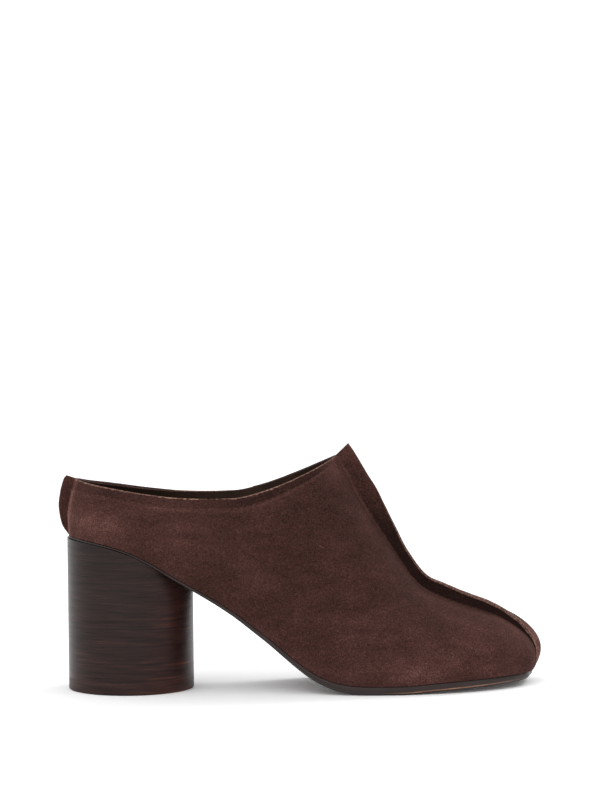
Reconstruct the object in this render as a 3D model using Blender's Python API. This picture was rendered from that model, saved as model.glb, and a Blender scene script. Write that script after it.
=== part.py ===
# Women's mule pump: suede upper with raised seams on a round stacked heel. Right shoe.
# X runs from heel to toe, Y to the inner side of the foot, Z up from the floor.
# The origin is the centre of the heel's tread.

import math

import bpy
import numpy as np

for old in list(bpy.data.objects):
    bpy.data.objects.remove(old, do_unlink=True)

# Driving sizes, in metres
SHOE_LENGTH = 0.2310
BALL_WIDTH = 0.0765
SEAT_HEIGHT = 0.0753
THROAT_HEIGHT = 0.1133
BACK_HEIGHT = 0.0277
TOE_SPRING = 0.0027
WALL = 0.0018
SOLE_THICKNESS = 0.0040
INSOLE_THICKNESS = 0.0022
TOP_PIECE_THICKNESS = 0.0060
TREAD_CHAMFER = 0.0005
SEAM_THICKNESS = 0.0028
VAMP_SEAM_HEIGHT = 0.0090
BACK_SEAM_HEIGHT = 0.0054
FIT = 0.0003
INSOLE_EASE = 0.0006
SOLE_SETBACK = 0.0016

# How finely the curved pieces are cut
COLLAR_CUTS = 26
VAMP_CUTS = 26
WALL_CUTS = 11
HEEL_SIDES = 72
LAYER_CUTS = 68

# The last, a row per section from the back seam to the toe seam. Row 8 is at the throat.
# outer_x, inner_x, ridge_x: share of the shoe's length, from the back
# outer_y, inner_y, ridge_y: share of the ball width, from the heel's centre line
# ridge_z: share of the throat height
# rise: how far the wall goes straight up, share of the section's height
# reach: how wide the top stays, share of the section's half width
# lean: how far the wall follows the slant to the ridge, share of it
# flare: how far the wall bulges over the sole's edge, share of the section's height
# outer_tilt, inner_tilt: how steeply each panel still climbs at the ridge, towards the big toe
LAST_COLUMNS = ("outer_x", "outer_y", "inner_x", "inner_y", "ridge_x", "ridge_y", "ridge_z",
                "rise", "reach", "lean", "flare", "outer_tilt", "inner_tilt")
LAST_ROWS = [
    (0.0035, 0.000, 0.0035, 0.000, 0.0370, 0.000, 1.040, 0.45, 0.10, 0.38, 0.050, 0.00, 0.00),
    (0.0215, 0.206, 0.0215, 0.206, 0.0560, 0.000, 1.045, 0.45, 0.10, 0.38, 0.045, 0.00, 0.00),
    (0.0670, 0.350, 0.0670, 0.350, 0.1040, 0.000, 1.065, 0.42, 0.12, 0.36, 0.036, 0.00, 0.00),
    (0.1330, 0.400, 0.1330, 0.397, 0.1700, 0.000, 1.100, 0.40, 0.16, 0.34, 0.035, 0.00, 0.00),
    (0.2030, 0.397, 0.2030, 0.388, 0.2460, 0.000, 1.150, 0.40, 0.32, 0.30, 0.035, 0.00, 0.00),
    (0.2730, 0.386, 0.2730, 0.352, 0.3260, 0.000, 1.200, 0.42, 0.52, 0.26, 0.032, 0.00, 0.00),
    (0.3430, 0.379, 0.3430, 0.322, 0.4050, 0.000, 1.220, 0.44, 0.72, 0.22, 0.030, 0.00, 0.00),
    (0.4130, 0.390, 0.4130, 0.327, 0.4900, 0.002, 1.150, 0.48, 0.88, 0.18, 0.028, 0.00, 0.00),
    (0.4830, 0.422, 0.4840, 0.372, 0.5710, 0.004, 1.000, 0.52, 0.86, 0.12, 0.027, 0.00, 0.00),
    (0.5530, 0.462, 0.5560, 0.430, 0.6220, 0.006, 0.806, 0.53, 0.75, 0.07, 0.030, 0.00, 0.00),
    (0.6230, 0.488, 0.6280, 0.480, 0.6820, 0.009, 0.614, 0.54, 0.68, 0.05, 0.036, 0.00, 0.02),
    (0.6920, 0.490, 0.7000, 0.508, 0.7370, 0.012, 0.450, 0.57, 0.65, 0.03, 0.046, 0.02, 0.08),
    (0.7610, 0.463, 0.7720, 0.508, 0.7940, 0.016, 0.376, 0.60, 0.63, 0.02, 0.058, 0.03, 0.20),
    (0.8270, 0.408, 0.8440, 0.482, 0.8510, 0.020, 0.335, 0.63, 0.64, 0.00, 0.075, 0.04, 0.36),
    (0.8880, 0.324, 0.9090, 0.432, 0.9100, 0.024, 0.293, 0.65, 0.64, 0.00, 0.100, 0.05, 0.56),
    (0.9400, 0.216, 0.9640, 0.348, 0.9620, 0.026, 0.225, 0.65, 0.64, 0.00, 0.150, 0.07, 0.72),
    (0.9750, 0.098, 0.9930, 0.212, 0.9895, 0.026, 0.150, 0.62, 0.62, 0.00, 0.200, 0.09, 0.74),
    (0.9865, 0.026, 0.9865, 0.026, 0.9865, 0.026, 0.060, 0.58, 0.58, 0.00, 0.220, 0.10, 0.70),
]
SEAT_ROW = 3
THROAT_ROW = 8
SETBACK_ROW = 13

# Side profile under the foot.
# along: share of the shoe's length, drop: share of the seat's height above the ball
# spring: share of the toe spring, sole: share of the sole's thickness
PROFILE_COLUMNS = ("along", "drop", "spring", "sole")
PROFILE_ROWS = [
    (0.000, 1.004, 0.00, 0.24),
    (0.045, 0.990, 0.00, 0.24),
    (0.090, 0.961, 0.00, 0.24),
    (0.133, 0.917, 0.00, 0.24),
    (0.176, 0.850, 0.00, 0.25),
    (0.220, 0.762, 0.00, 0.29),
    (0.268, 0.672, 0.00, 0.35),
    (0.322, 0.568, 0.00, 0.42),
    (0.359, 0.488, 0.00, 0.46),
    (0.396, 0.396, 0.00, 0.50),
    (0.433, 0.302, 0.00, 0.54),
    (0.461, 0.226, 0.00, 0.58),
    (0.488, 0.156, 0.00, 0.64),
    (0.516, 0.093, 0.00, 0.72),
    (0.544, 0.048, 0.00, 0.82),
    (0.574, 0.018, 0.00, 0.92),
    (0.610, 0.003, 0.00, 0.98),
    (0.640, 0.000, 0.00, 1.00),
    (0.700, 0.000, 0.00, 1.00),
    (0.770, 0.000, 0.35, 1.00),
    (0.850, 0.000, 0.62, 0.96),
    (0.930, 0.000, 0.83, 0.90),
    (1.000, 0.000, 1.00, 0.85),
]

# The collar's edge seen from the side.
# along: share of the way from the back seam to the throat
# back, throat: share of the height at the back, and of the climb from there to the throat
# The edge starts this share of the shoe's length from the back
COLLAR_START = 0.017
COLLAR_COLUMNS = ("along", "back", "throat")
COLLAR_ROWS = [
    (0.000, 1.000, 0.000),
    (0.055, 0.935, 0.000),
    (0.114, 0.885, 0.000),
    (0.183, 0.832, 0.000),
    (0.285, 0.752, 0.000),
    (0.411, 0.680, 0.000),
    (0.540, 0.655, 0.030),
    (0.610, 0.660, 0.070),
    (0.690, 0.705, 0.180),
    (0.770, 0.775, 0.310),
    (0.888, 0.870, 0.650),
    (0.930, 0.910, 0.785),
    (0.975, 0.965, 0.920),
    (1.000, 1.000, 1.000),
]

# The raised seam along the vamp, by row of the last, as shares of VAMP_SEAM_HEIGHT.
# slant: how far its top edge lies back towards the heel
VAMP_SEAM_COLUMNS = ("row", "height", "slant")
VAMP_SEAM_ROWS = [
    (8.0, 0.90, 0.12),
    (8.4, 0.91, 0.04),
    (8.7, 0.97, 0.00),
    (9.0, 1.04, 0.00),
    (9.4, 0.94, 0.00),
    (9.8, 0.78, 0.00),
    (10.3, 0.64, 0.00),
    (11.0, 0.65, 0.00),
    (11.8, 0.76, 0.00),
    (12.5, 0.72, 0.00),
    (13.5, 0.62, 0.00),
    (14.3, 0.48, 0.00),
    (15.0, 0.34, 0.00),
    (15.7, 0.14, 0.00),
    (16.3, 0.05, 0.00),
    (17.0, 0.00, 0.00),
]

# Height of the raised seam up the back, share of BACK_SEAM_HEIGHT, by share of the way up
BACK_SEAM_COLUMNS = ("up", "height")
BACK_SEAM_ROWS = [
    (0.00, 0.02),
    (0.09, 0.52),
    (0.23, 0.80),
    (0.34, 0.94),
    (0.49, 0.99),
    (0.62, 1.02),
    (0.83, 1.02),
    (1.00, 0.88),
]


def columns(names, rows):
    return {name: np.array([row[place] for row in rows]) for place, name in enumerate(names)}


LAST = columns(LAST_COLUMNS, LAST_ROWS)
PROFILE = columns(PROFILE_COLUMNS, PROFILE_ROWS)
COLLAR = columns(COLLAR_COLUMNS, COLLAR_ROWS)
VAMP_SEAM = columns(VAMP_SEAM_COLUMNS, VAMP_SEAM_ROWS)
BACK_SEAM = columns(BACK_SEAM_COLUMNS, BACK_SEAM_ROWS)
LAST_ROW = len(LAST_ROWS) - 1

# The heel is as wide as the foot's edge at the seat, and stands flush with its back
HEEL_RADIUS = LAST["outer_y"][SEAT_ROW] * BALL_WIDTH
BACK_X = -HEEL_RADIUS

# Rows that a curve carries on past each seam, and the steps that slopes are measured over
MIRRORED = 4
ROW_STEP = 0.01
SKIN_STEP = 0.004
SLOPE_STEP = 0.0005
HALVINGS = 40


def spline(values, where):
    """Cubic spline through evenly numbered values."""
    count = len(values)
    matrix = np.eye(count)
    bend = np.zeros(count)
    for i in range(1, count - 1):
        matrix[i, i - 1:i + 2] = (1, 4, 1)
        bend[i] = 6 * (values[i - 1] - 2 * values[i] + values[i + 1])
    bend = np.linalg.solve(matrix, bend)
    i = np.clip(np.floor(where).astype(int), 0, count - 2)
    after = where - i
    before = 1 - after
    curve = (before ** 3 - before) * bend[i] + (after ** 3 - after) * bend[i + 1]
    return before * values[i] + after * values[i + 1] + curve / 6


def steady(knots, values, where):
    """Curve that stays level between equal values and never swings past one."""
    step = np.diff(knots)
    rate = np.diff(values) / step
    slope = np.zeros(len(knots))
    slope[0] = rate[0]
    slope[-1] = rate[-1]
    for i in range(1, len(knots) - 1):
        if rate[i - 1] * rate[i] > 0:
            near = 2 * step[i] + step[i - 1]
            far = step[i] + 2 * step[i - 1]
            slope[i] = (near + far) / (near / rate[i - 1] + far / rate[i])
    where = np.clip(where, knots[0], knots[-1])
    i = np.clip(np.searchsorted(knots, where, side="right") - 1, 0, len(knots) - 2)
    h = step[i]
    s = (where - knots[i]) / h
    level = (1 + 2 * s) * (1 - s) ** 2 * values[i] + s * s * (3 - 2 * s) * values[i + 1]
    return level + h * (s * (1 - s) ** 2 * slope[i] - s * s * (1 - s) * slope[i + 1])


def section_value(name, row, toe_turns=False):
    """A column of the last at any row; it carries on past the seams as their mirror image."""
    values = LAST[name]
    back = values[MIRRORED:0:-1]
    toe = values[-2:-2 - MIRRORED:-1]
    if toe_turns:
        toe = 2 * values[-1] - toe
    return spline(np.concatenate((back, values, toe)), row + MIRRORED)


def edge_value(axis, side, row):
    """The sole's edge, one closed curve up the outer side and back down the inner side."""
    outer = LAST["outer_" + axis]
    inner = LAST["inner_" + axis]
    if axis == "y":
        outer = -outer
        toe_y = LAST["ridge_y"][-1]
        outer = np.append(outer[:-1], toe_y)
        inner = np.append(inner[:-1], toe_y)
    first, second = (outer, inner) if side < 0 else (inner, outer)
    back = second[MIRRORED:0:-1]
    toe = second[-2:-2 - MIRRORED:-1]
    return spline(np.concatenate((back, first, toe)), row + MIRRORED)


def seat_z(x):
    """Height of the upper's lower edge, which is the top of the sole plus the fit."""
    along = (x - BACK_X) / SHOE_LENGTH
    ball = SOLE_THICKNESS + FIT
    drop = steady(PROFILE["along"], PROFILE["drop"], along)
    spring = steady(PROFILE["along"], PROFILE["spring"], along)
    return ball + drop * (SEAT_HEIGHT - ball) + spring * TOE_SPRING


def seat_stretch(x):
    """How much longer an upright line through a layer is than the layer is thick."""
    slope = (seat_z(x + SLOPE_STEP) - seat_z(x - SLOPE_STEP)) / (2 * SLOPE_STEP)
    return np.sqrt(1 + slope ** 2)


def sole_bottom_z(x):
    along = (x - BACK_X) / SHOE_LENGTH
    share = steady(PROFILE["along"], PROFILE["sole"], along)
    return seat_z(x) - FIT - share * SOLE_THICKNESS * seat_stretch(x)


def foot_edge(side, row):
    """Plan of the sole's edge and the outward direction there."""
    place = []
    turn = []
    for axis, scale in (("x", SHOE_LENGTH), ("y", BALL_WIDTH)):
        place.append(edge_value(axis, side, row) * scale)
        ahead = edge_value(axis, side, row + ROW_STEP)
        behind = edge_value(axis, side, row - ROW_STEP)
        turn.append((ahead - behind) * scale)
    length = np.hypot(*turn)
    out_x = -side * turn[1] / length
    out_y = side * turn[0] / length
    return place[0] + BACK_X, place[1], out_x, out_y


def ridge(row):
    x = section_value("ridge_x", row, toe_turns=True) * SHOE_LENGTH + BACK_X
    y = section_value("ridge_y", row) * BALL_WIDTH
    z = section_value("ridge_z", row, toe_turns=True) * THROAT_HEIGHT
    toe_z = LAST["ridge_z"][-1] * THROAT_HEIGHT
    pole_z = seat_z(LAST["ridge_x"][-1] * SHOE_LENGTH + BACK_X)
    near_toe = np.clip((row - THROAT_ROW) / (LAST_ROW - THROAT_ROW), 0, 1) ** 4
    return x, y, z + (pole_z - toe_z) * near_toe


def upright_normal(run):
    """Direction square to a line of points in the seam's plane, outward."""
    out = np.stack((-run[..., 2], np.zeros_like(run[..., 0]), run[..., 0]), -1)
    return out / np.linalg.norm(out, axis=-1, keepdims=True)


def ridge_run(rows):
    """Direction of the ridge, towards the toe."""
    run = np.stack(ridge(rows + ROW_STEP), -1) - np.stack(ridge(rows - ROW_STEP), -1)
    run[..., 1] = 0
    return run / np.linalg.norm(run, axis=-1, keepdims=True)


def body(side, row, up):
    """Point of the last's surface: row from back to toe, up from the sole to the ridge."""
    foot_x, foot_y, out_x, out_y = foot_edge(side, row)
    foot_z = seat_z(foot_x)
    top_x, top_y, top_z = ridge(row)
    rise = section_value("rise", row)
    reach = section_value("reach", row)
    lean = section_value("lean", row)
    height = top_z - foot_z
    flare = section_value("flare", row) * height
    tilt = section_value("outer_tilt" if side < 0 else "inner_tilt", row)
    climb = tilt * reach * (top_y - foot_y)
    front = upright_normal(ridge_run(row))
    low = (foot_x + out_x * flare, foot_y + out_y * flare, foot_z + rise * height)
    high = (top_x - lean * (top_x - foot_x) - climb * front[..., 0],
            top_y - reach * (top_y - foot_y),
            top_z - lean * height - climb * front[..., 2])
    down = 1 - up
    weights = (down ** 3, 3 * down ** 2 * up, 3 * down * up ** 2, up ** 3)
    corners = ((foot_x, foot_y, foot_z), low, high, (top_x, top_y, top_z))
    return np.stack([sum(w * corner[axis] for w, corner in zip(weights, corners)) for axis in range(3)], -1)


def collar_z(x):
    throat_x = LAST["ridge_x"][THROAT_ROW] * SHOE_LENGTH + BACK_X
    start_x = COLLAR_START * SHOE_LENGTH + BACK_X
    along = (x - start_x) / (throat_x - start_x)
    back = steady(COLLAR["along"], COLLAR["back"], along) * BACK_HEIGHT
    climb = THROAT_HEIGHT - SEAT_HEIGHT - BACK_HEIGHT
    return SEAT_HEIGHT + back + steady(COLLAR["along"], COLLAR["throat"], along) * climb


def collar_up(side, row):
    """How far up each section the collar's edge cuts it."""
    low = np.zeros_like(row)
    high = np.ones_like(row)
    for _ in range(HALVINGS):
        middle = (low + high) / 2
        point = body(side, row, middle)
        under = point[..., 2] < collar_z(point[..., 0])
        low = np.where(under, middle, low)
        high = np.where(under, high, middle)
    return np.where(row < THROAT_ROW, low, 1.0)


def normals(side, row, up):
    """Outward direction of the last's surface."""
    step = SKIN_STEP
    up_in = np.clip(up, step, 1 - step)
    row_in = np.clip(row, step, LAST_ROW - step)
    along = body(side, row_in + step, up_in) - body(side, row_in - step, up_in)
    across = body(side, row_in, up_in + step) - body(side, row_in, up_in - step)
    out = np.cross(along, across) * -side
    return out / np.linalg.norm(out, axis=-1, keepdims=True)


def wall_grid(side):
    """Outer and inner skin of one panel as grids of points."""
    share = np.linspace(0, 1, COLLAR_CUTS + 1)
    collar_rows = THROAT_ROW * np.sin(share * math.pi / 2)
    share = np.linspace(0, 1, VAMP_CUTS + 1)[1:]
    vamp_rows = THROAT_ROW + (LAST_ROW - THROAT_ROW) * share
    rows = np.concatenate((collar_rows, vamp_rows))
    top = collar_up(side, rows)[:, None]
    level = np.linspace(0, 1, WALL_CUTS + 1)[None, :]
    up = level - (1 - top) * level ** 2
    row = np.repeat(rows[:, None], WALL_CUTS + 1, axis=1)
    point = body(side, row, up)
    out = normals(side, row, up)
    seam_y = ridge(row)[1]
    on_seam = (row == 0) | (up == 1) | (row == LAST_ROW)
    out[0] = upright_normal(np.gradient(point[0], axis=0))
    out[COLLAR_CUTS:, -1] = upright_normal(ridge_run(rows[COLLAR_CUTS:]))
    # at the sole the wall is measured level, so that both edges of it sit on the sole
    edge = foot_edge(side, rows)
    out[:, 0] = np.stack((edge[2], edge[3], np.zeros_like(edge[2])), -1)
    out[0, 0] = (-1, 0, 0)
    out[-1, :] = (1, 0, 0)
    inner = point - WALL * out
    inner[:, 0, 2] = seat_z(inner[:, 0, 0])
    inner[..., 1] = np.where(on_seam, seam_y, inner[..., 1])
    outer = point.copy()
    outer[..., 1] = seam_y + side * np.hypot(point[..., 1] - seam_y, SEAM_THICKNESS / 2)
    outer[-1, :] = outer[-1, 0]
    inner[-1, :] = inner[-1, 0]
    return outer, inner, rows, up


class Mesh:
    """Vertices shared by place and faces between them."""

    def __init__(self):
        self.places = {}
        self.points = []
        self.faces = []

    def vertex(self, point):
        key = tuple(round(float(value), 7) for value in point)
        if key not in self.places:
            self.places[key] = len(self.points)
            self.points.append(key)
        return self.places[key]

    def face(self, *corners):
        loop = []
        for corner in corners:
            index = self.vertex(corner)
            if index not in loop:
                loop.append(index)
        if len(loop) > 2:
            self.faces.append(loop)

    def strip(self, first, second):
        """Quads between two lines of points; they face the first line's run crossed with first to second."""
        for i in range(len(first) - 1):
            self.face(first[i], first[i + 1], second[i + 1], second[i])

    def sheet(self, grid, flip):
        for i in range(len(grid) - 1):
            if flip:
                self.strip(grid[i + 1], grid[i])
            else:
                self.strip(grid[i], grid[i + 1])


def material(name, color, roughness):
    made = bpy.data.materials.new(name)
    made.use_nodes = True
    shader = made.node_tree.nodes["Principled BSDF"]
    shader.inputs["Base Color"].default_value = (*color, 1.0)
    shader.inputs["Roughness"].default_value = roughness
    shader.inputs["Metallic"].default_value = 0.0
    return made


def add_piece(name, built, surface, collection, parent):
    mesh = bpy.data.meshes.new(name)
    mesh.from_pydata(built.points, [], built.faces)
    mesh.shade_smooth()
    mesh.set_sharp_from_angle(angle=math.radians(35))
    mesh.materials.append(surface)
    piece = bpy.data.objects.new(name, mesh)
    piece.parent = parent
    collection.objects.link(piece)
    return piece


def build_upper():
    built = Mesh()
    outer = {}
    inner = {}
    for side in (-1, 1):
        outer[side], inner[side], rows, up = wall_grid(side)
        built.sheet(outer[side], side < 0)
        built.sheet(inner[side], side > 0)
        under = (inner[side][:, 0], outer[side][:, 0])
        over = (outer[side][:COLLAR_CUTS + 1, -1], inner[side][:COLLAR_CUTS + 1, -1])
        for first, second in (under, over):
            if side > 0:
                first, second = second, first
            built.strip(first, second)
    add_vamp_seam(built, outer, inner, rows[COLLAR_CUTS:])
    add_back_seam(built, outer, inner)
    return built


def add_vamp_seam(built, outer, inner, rows):
    """Raised seam over the instep: both panels turned out, with the cut edges on top."""
    run = ridge_run(rows)
    out = upright_normal(run)
    height = steady(VAMP_SEAM["row"], VAMP_SEAM["height"], rows) * VAMP_SEAM_HEIGHT
    slant = steady(VAMP_SEAM["row"], VAMP_SEAM["slant"], rows) * VAMP_SEAM_HEIGHT
    lift = out * height[:, None] - run * slant[:, None]
    fold = {side: outer[side][COLLAR_CUTS:, -1] for side in (-1, 1)}
    top = {side: fold[side] + lift for side in (-1, 1)}
    built.strip(fold[-1], top[-1])
    built.strip(top[-1], top[1])
    built.strip(top[1], fold[1])
    built.face(fold[-1][0], top[-1][0], top[1][0], fold[1][0])
    built.face(fold[-1][0], fold[1][0], inner[-1][COLLAR_CUTS, -1])
    built.face(fold[-1][-1], inner[-1][-1, 0], fold[1][-1])


def add_back_seam(built, outer, inner):
    """Raised seam up the back of the heel."""
    line = {side: outer[side][0] for side in (-1, 1)}
    up = np.linspace(0, 1, WALL_CUTS + 1)
    height = steady(BACK_SEAM["up"], BACK_SEAM["height"], up) * BACK_SEAM_HEIGHT
    out = upright_normal(np.gradient(line[-1], axis=0))
    edge = {side: line[side] + out * height[:, None] for side in (-1, 1)}
    built.strip(line[-1], edge[-1])
    built.strip(edge[-1], edge[1])
    built.strip(edge[1], line[1])
    built.face(line[-1][-1], line[1][-1], edge[1][-1], edge[-1][-1])
    built.face(line[-1][-1], inner[-1][0, -1], line[1][-1])
    built.face(line[-1][0], edge[-1][0], edge[1][0], line[1][0])
    built.face(line[-1][0], line[1][0], inner[-1][0, 0])


def build_layer(inset, bottom, top):
    """Layer with the foot's outline, inset from the sole's edge, between two height functions."""
    rows = LAST_ROW * np.linspace(0, 1, LAYER_CUTS + 1)
    line = {}
    for side in (-1, 1):
        x, y, out_x, out_y = foot_edge(side, rows)
        out_x[0], out_y[0] = -1, 0
        line[side] = np.stack((x - inset(rows) * out_x, y - inset(rows) * out_y), -1)
    line[1][0] = line[-1][0]
    line[1][-1] = line[-1][-1]
    level = {}
    for side in (-1, 1):
        for name, height in (("low", bottom), ("high", top)):
            level[side, name] = np.column_stack((line[side], height(line[side][:, 0])))
    built = Mesh()
    built.strip(level[-1, "high"], level[1, "high"])
    built.strip(level[1, "low"], level[-1, "low"])
    built.strip(level[-1, "low"], level[-1, "high"])
    built.strip(level[1, "high"], level[1, "low"])
    return built


def insole_inset(rows):
    return np.full_like(rows, WALL + INSOLE_EASE)


def insole_top_z(x):
    return seat_z(x) + INSOLE_THICKNESS * seat_stretch(x)


def outsole_inset(rows):
    """The sole is cut back under the toe, where the upper stands out over it."""
    toe = np.clip((rows - SETBACK_ROW) / (LAST_ROW - SETBACK_ROW), 0, 1)
    return SOLE_SETBACK * toe * toe * (3 - 2 * toe)


def outsole_top_z(x):
    return seat_z(x) - FIT


def heel_top_z(x):
    return sole_bottom_z(x) - FIT


def top_piece_top_z(x):
    return np.full_like(x, TOP_PIECE_THICKNESS)


def build_round(radius, bottom, top, chamfer=0.0):
    """Upright cylinder with a level bottom and a top that follows the slope of the seat."""
    half = HEEL_SIDES // 2
    angle = np.linspace(math.pi, 0, half + 1)
    rings = []
    for reach, height in ((radius - chamfer, None), (radius, chamfer), (radius, top)):
        x = reach * np.cos(angle)
        y = reach * np.sin(angle)
        if height is None:
            z = np.full_like(x, bottom)
        elif callable(height):
            z = height(x)
        else:
            z = np.full_like(x, bottom + height)
        rings.append({side: np.column_stack((x, side * y, z)) for side in (-1, 1)})
    if chamfer == 0:
        rings.pop(0)
    built = Mesh()
    low, high = rings[0], rings[-1]
    floor = list(low[-1]) + list(low[1][-2:0:-1])
    built.face(*floor[::-1])
    built.strip(high[-1], high[1])
    for under, over in zip(rings, rings[1:]):
        built.strip(under[-1], over[-1])
        built.strip(over[1], under[1])
    return built


collection = bpy.data.collections.new("mule_pump")
bpy.context.scene.collection.children.link(collection)
root = bpy.data.objects.new("shoe", None)
collection.objects.link(root)

suede = material("brown_suede", (0.075, 0.030, 0.024), 0.92)
edge_leather = material("painted_sole_leather", (0.022, 0.017, 0.016), 0.5)
lining = material("dark_lining_leather", (0.020, 0.013, 0.011), 0.65)
stacked = material("stacked_leather", (0.034, 0.021, 0.018), 0.38)
rubber = material("top_piece_rubber", (0.030, 0.017, 0.014), 0.7)

add_piece("upper", build_upper(), suede, collection, root)
insole = build_layer(insole_inset, seat_z, insole_top_z)
add_piece("insole", insole, lining, collection, root)
outsole = build_layer(outsole_inset, sole_bottom_z, outsole_top_z)
add_piece("outsole", outsole, edge_leather, collection, root)
heel = build_round(HEEL_RADIUS, TOP_PIECE_THICKNESS + FIT, heel_top_z)
add_piece("heel", heel, stacked, collection, root)
top_piece = build_round(HEEL_RADIUS, 0.0, top_piece_top_z, TREAD_CHAMFER)
add_piece("top_piece", top_piece, rubber, collection, root)
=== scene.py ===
import math

import bpy
import numpy as np
from mathutils import Matrix, Vector


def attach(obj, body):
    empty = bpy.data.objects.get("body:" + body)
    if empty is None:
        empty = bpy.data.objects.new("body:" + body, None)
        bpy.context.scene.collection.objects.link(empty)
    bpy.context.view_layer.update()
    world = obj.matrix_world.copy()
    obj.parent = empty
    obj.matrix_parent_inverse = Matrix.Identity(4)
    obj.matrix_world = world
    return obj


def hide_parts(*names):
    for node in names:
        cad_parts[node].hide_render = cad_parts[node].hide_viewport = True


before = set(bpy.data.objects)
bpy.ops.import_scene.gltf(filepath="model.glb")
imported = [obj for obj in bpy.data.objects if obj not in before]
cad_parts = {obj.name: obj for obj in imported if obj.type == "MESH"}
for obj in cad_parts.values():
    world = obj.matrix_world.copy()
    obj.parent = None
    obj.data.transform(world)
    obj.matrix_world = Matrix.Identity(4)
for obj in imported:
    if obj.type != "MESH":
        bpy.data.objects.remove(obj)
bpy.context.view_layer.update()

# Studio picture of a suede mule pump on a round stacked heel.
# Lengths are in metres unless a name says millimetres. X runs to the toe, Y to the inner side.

print("frame loaded:", sorted(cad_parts))

# Sizes of the shoe, the same as the solids have
shoe = {
    "length": 0.2310,
    "ballWidth": 0.0765,
    "seatHeight": 0.0753,
    "throatHeight": 0.1133,
    "backHeight": 0.0277,
    "toeSpring": 0.0027,
    "wall": 0.0018,
    "soleThickness": 0.0040,
    "insoleThickness": 0.0022,
    "topPiece": 0.0060,
    "seamThickness": 0.0028,
    "vampSeam": 0.0090,
    "backSeam": 0.0054,
    "fit": 0.0003,
    "insoleEase": 0.0006,
    "soleSetback": 0.0016,
    "collarStart": 0.017,
    "seatRow": 3,
    "throatRow": 8,
    "setbackRow": 13,
}

# The last from the back seam to the toe seam, as shares of length, ball width and throat height.
# The wall is one curve from the foot's edge to the ridge: rise and flare place its lower handle,
# reach and lean its upper one, and the tilts turn that one down outside and up inside.
lastColumns = ("outerX", "outerY", "innerX", "innerY", "ridgeX", "ridgeY", "ridgeZ",
               "rise", "reach", "lean", "flare", "outerTilt", "innerTilt")
lastRows = [
    (0.0035, 0.000, 0.0035, 0.000, 0.0370, 0.000, 1.040, 0.45, 0.10, 0.38, 0.050, 0.00, 0.00),
    (0.0215, 0.206, 0.0215, 0.206, 0.0560, 0.000, 1.045, 0.45, 0.10, 0.38, 0.045, 0.00, 0.00),
    (0.0670, 0.350, 0.0670, 0.350, 0.1040, 0.000, 1.065, 0.42, 0.12, 0.36, 0.036, 0.00, 0.00),
    (0.1330, 0.400, 0.1330, 0.397, 0.1700, 0.000, 1.100, 0.40, 0.16, 0.34, 0.035, 0.00, 0.00),
    (0.2030, 0.397, 0.2030, 0.388, 0.2460, 0.000, 1.150, 0.40, 0.32, 0.30, 0.035, 0.00, 0.00),
    (0.2730, 0.386, 0.2730, 0.352, 0.3260, 0.000, 1.200, 0.42, 0.52, 0.26, 0.032, 0.00, 0.00),
    (0.3430, 0.379, 0.3430, 0.322, 0.4050, 0.000, 1.220, 0.44, 0.72, 0.22, 0.030, 0.00, 0.00),
    (0.4130, 0.390, 0.4130, 0.327, 0.4900, 0.002, 1.150, 0.48, 0.88, 0.18, 0.028, 0.00, 0.00),
    (0.4830, 0.422, 0.4840, 0.372, 0.5710, 0.004, 1.000, 0.52, 0.86, 0.12, 0.027, 0.00, 0.00),
    (0.5530, 0.462, 0.5560, 0.430, 0.6220, 0.006, 0.806, 0.53, 0.75, 0.07, 0.030, 0.00, 0.00),
    (0.6230, 0.488, 0.6280, 0.480, 0.6820, 0.009, 0.614, 0.54, 0.68, 0.05, 0.036, 0.00, 0.02),
    (0.6920, 0.490, 0.7000, 0.508, 0.7370, 0.012, 0.450, 0.57, 0.65, 0.03, 0.046, 0.02, 0.08),
    (0.7610, 0.463, 0.7720, 0.508, 0.7940, 0.016, 0.376, 0.60, 0.63, 0.02, 0.058, 0.03, 0.20),
    (0.8270, 0.408, 0.8440, 0.482, 0.8510, 0.020, 0.335, 0.63, 0.64, 0.00, 0.075, 0.04, 0.36),
    (0.8880, 0.324, 0.9090, 0.432, 0.9100, 0.024, 0.293, 0.65, 0.64, 0.00, 0.100, 0.05, 0.56),
    (0.9400, 0.216, 0.9640, 0.348, 0.9620, 0.026, 0.225, 0.65, 0.64, 0.00, 0.150, 0.07, 0.72),
    (0.9750, 0.098, 0.9930, 0.212, 0.9895, 0.026, 0.150, 0.62, 0.62, 0.00, 0.200, 0.09, 0.74),
    (0.9865, 0.026, 0.9865, 0.026, 0.9865, 0.026, 0.060, 0.58, 0.58, 0.00, 0.220, 0.10, 0.70),
]
profileColumns = ("along", "drop", "spring", "sole")
profileRows = [
    (0.000, 1.004, 0.00, 0.24),
    (0.045, 0.990, 0.00, 0.24),
    (0.090, 0.961, 0.00, 0.24),
    (0.133, 0.917, 0.00, 0.24),
    (0.176, 0.850, 0.00, 0.25),
    (0.220, 0.762, 0.00, 0.29),
    (0.268, 0.672, 0.00, 0.35),
    (0.322, 0.568, 0.00, 0.42),
    (0.359, 0.488, 0.00, 0.46),
    (0.396, 0.396, 0.00, 0.50),
    (0.433, 0.302, 0.00, 0.54),
    (0.461, 0.226, 0.00, 0.58),
    (0.488, 0.156, 0.00, 0.64),
    (0.516, 0.093, 0.00, 0.72),
    (0.544, 0.048, 0.00, 0.82),
    (0.574, 0.018, 0.00, 0.92),
    (0.610, 0.003, 0.00, 0.98),
    (0.640, 0.000, 0.00, 1.00),
    (0.700, 0.000, 0.00, 1.00),
    (0.770, 0.000, 0.35, 1.00),
    (0.850, 0.000, 0.62, 0.96),
    (0.930, 0.000, 0.83, 0.90),
    (1.000, 0.000, 1.00, 0.85),
]
collarColumns = ("along", "back", "throat")
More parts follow.
